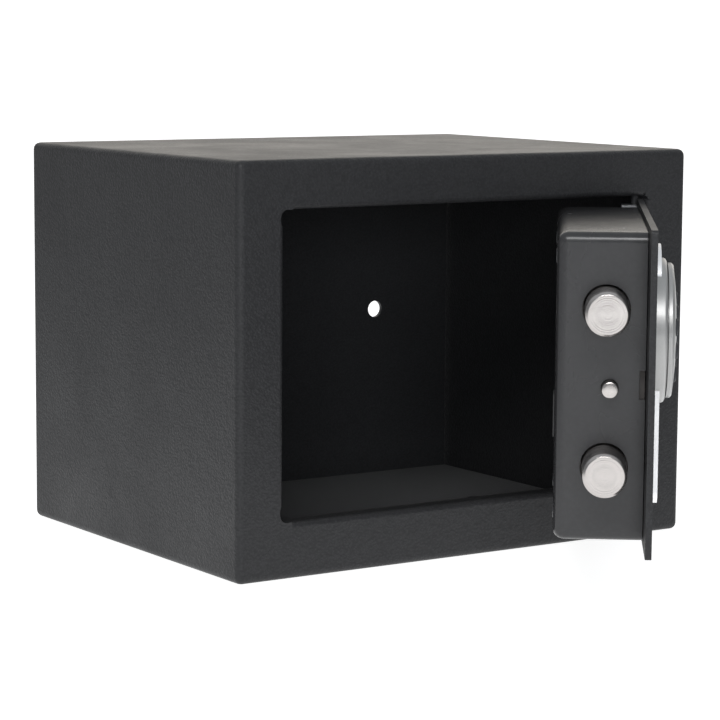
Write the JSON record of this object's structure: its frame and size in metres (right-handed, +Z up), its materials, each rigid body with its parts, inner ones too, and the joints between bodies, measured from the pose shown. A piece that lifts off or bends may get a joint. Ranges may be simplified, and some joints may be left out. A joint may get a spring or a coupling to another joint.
{
  "type": "furniture safe",
  "caption": "Small steel safe with a hinged door, round lock bolts thrown by a turning keypad knob, and anchor holes in its back and floor.",
  "frame": {"origin": "centre of the underside of the cabinet, on the surface that it stands on", "axes": "+Z up, +Y towards the back panel, so the door faces -Y; +X towards the hinge side"},
  "size_m": [0.23, 0.321, 0.17],
  "materials": {
    "powder_coat": "fine leather-grain black powder coat",
    "lining": "smooth satin black paint",
    "turned_steel": "bright turned steel with fine lathe rings",
    "zinc_steel": "zinc plated",
    "phosphated_steel": "dark grey phosphated sheet steel",
    "silver_plastic": "satin silver paint on moulded plastic",
    "key_plastic": "soft matt keypad rubber",
    "black_plastic": "moulded plastic",
    "brass": "turned",
    "circuit_green": "lacquered circuit board",
    "cell_wrap": "plain shrink wrap",
    "red_plastic": "moulded plastic",
    "felt": "short needle felt"
  },
  "bodies": {
    "cabinet": {"body_shell": "powder_coat", "back_panel": "powder_coat", "floor_mat": "felt"},
    "door": {"door_plate": "powder_coat", "door_lining": "lining", "lining_screw_1": "zinc_steel", "lining_screw_2": "zinc_steel", "lining_screw_3": "zinc_steel", "lining_screw_4": "zinc_steel", "hinge_tab_upper": "zinc_steel", "hinge_tab_lower": "zinc_steel", "hinge_pin_upper": "powder_coat", "hinge_pin_lower": "powder_coat", "lock_housing": "silver_plastic", "shaft_bush": "brass", "bolt_guide": "phosphated_steel", "solenoid_body": "black_plastic", "key_barrel": "zinc_steel", "battery_holder": "black_plastic", "battery_1": "cell_wrap", "battery_2": "cell_wrap", "battery_3": "cell_wrap", "battery_4": "cell_wrap", "circuit_board": "circuit_green"},
    "knob": {"knob_cap": "silver_plastic", "keypad_board": "circuit_green", "knob_hub": "black_plastic", "knob_shaft": "zinc_steel", "crank": "zinc_steel"},
    "bolt_work": {"bolt_upper": "turned_steel", "bolt_lower": "turned_steel", "bolt_carrier": "zinc_steel", "guide_pin": "turned_steel"},
    "plunger": {"solenoid_plunger": "turned_steel"},
    "emergency_lock": {"key_plug": "brass", "key_cam": "zinc_steel"},
    "key_cover": {"key_cover": "silver_plastic"},
    "battery_cover": {"battery_cover": "lining"},
    "reset_button": {"reset_button": "red_plastic"},
    "key_1": {"key_1": "key_plastic"},
    "key_2": {"key_2": "key_plastic"},
    "key_3": {"key_3": "key_plastic"},
    "key_4": {"key_4": "key_plastic"},
    "key_5": {"key_5": "key_plastic"},
    "key_6": {"key_6": "key_plastic"},
    "key_7": {"key_7": "key_plastic"},
    "key_8": {"key_8": "key_plastic"},
    "key_9": {"key_9": "key_plastic"},
    "key_clear": {"key_clear": "key_plastic"},
    "key_0": {"key_0": "key_plastic"},
    "key_enter": {"key_enter": "key_plastic"}
  },
  "joints": [
    {"name": "door_hinge", "type": "hinge", "parent": "cabinet", "child": "door", "pos_m": [0.0888, -0.0864, 0.085], "axis": [0, 0, 1], "range_deg": [-52, 46]},
    {"name": "knob_turn", "type": "hinge", "parent": "door", "child": "knob", "pos_m": [0.03684, -0.15875, 0.1013], "axis": [0.788, -0.6157, 0], "range_deg": [0, 64]},
    {"name": "bolt_throw", "type": "slide", "parent": "door", "child": "bolt_work", "axis": [-0.6157, -0.788, 0], "range_m": [0, 0.0106]},
    {"name": "plunger_pull", "type": "slide", "parent": "door", "child": "plunger", "axis": [0, 0, -1], "range_m": [0, 0.002], "stiffness_N_per_m": 100, "springref_m": -0.003},
    {"name": "emergency_key_turn", "type": "hinge", "parent": "door", "child": "emergency_lock", "pos_m": [0.03684, -0.15875, 0.052], "axis": [-0.788, 0.6157, 0], "range_deg": [0, 90]},
    {"name": "key_cover_pull", "type": "slide", "parent": "door", "child": "key_cover", "axis": [0.788, -0.6157, 0], "range_m": [0, 0.008]},
    {"name": "battery_cover_pull", "type": "slide", "parent": "door", "child": "battery_cover", "axis": [-0.788, 0.6157, 0], "range_m": [0, 0.015]},
    {"name": "reset_press", "type": "slide", "parent": "door", "child": "reset_button", "axis": [0.788, -0.6157, 0], "range_m": [0, 0.0009], "stiffness_N_per_m": 300},
    {"name": "key_1_press", "type": "slide", "parent": "knob", "child": "key_1", "axis": [-0.788, 0.6157, 0], "range_m": [0, 0.0005], "stiffness_N_per_m": 300},
    {"name": "key_2_press", "type": "slide", "parent": "knob", "child": "key_2", "axis": [-0.788, 0.6157, 0], "range_m": [0, 0.0005], "stiffness_N_per_m": 300},
    {"name": "key_3_press", "type": "slide", "parent": "knob", "child": "key_3", "axis": [-0.788, 0.6157, 0], "range_m": [0, 0.0005], "stiffness_N_per_m": 300},
    {"name": "key_4_press", "type": "slide", "parent": "knob", "child": "key_4", "axis": [-0.788, 0.6157, 0], "range_m": [0, 0.0005], "stiffness_N_per_m": 300},
    {"name": "key_5_press", "type": "slide", "parent": "knob", "child": "key_5", "axis": [-0.788, 0.6157, 0], "range_m": [0, 0.0005], "stiffness_N_per_m": 300},
    {"name": "key_6_press", "type": "slide", "parent": "knob", "child": "key_6", "axis": [-0.788, 0.6157, 0], "range_m": [0, 0.0005], "stiffness_N_per_m": 300},
    {"name": "key_7_press", "type": "slide", "parent": "knob", "child": "key_7", "axis": [-0.788, 0.6157, 0], "range_m": [0, 0.0005], "stiffness_N_per_m": 300},
    {"name": "key_8_press", "type": "slide", "parent": "knob", "child": "key_8", "axis": [-0.788, 0.6157, 0], "range_m": [0, 0.0005], "stiffness_N_per_m": 300},
    {"name": "key_9_press", "type": "slide", "parent": "knob", "child": "key_9", "axis": [-0.788, 0.6157, 0], "range_m": [0, 0.0005], "stiffness_N_per_m": 300},
    {"name": "key_clear_press", "type": "slide", "parent": "knob", "child": "key_clear", "axis": [-0.788, 0.6157, 0], "range_m": [0, 0.0005], "stiffness_N_per_m": 300},
    {"name": "key_0_press", "type": "slide", "parent": "knob", "child": "key_0", "axis": [-0.788, 0.6157, 0], "range_m": [0, 0.0005], "stiffness_N_per_m": 300},
    {"name": "key_enter_press", "type": "slide", "parent": "knob", "child": "key_enter", "axis": [-0.788, 0.6157, 0], "range_m": [0, 0.0005], "stiffness_N_per_m": 300}
  ],
  "couplings": [
    {"joint": "knob_turn", "follows": "bolt_throw", "rad_per_m": 105.39}
  ]
}
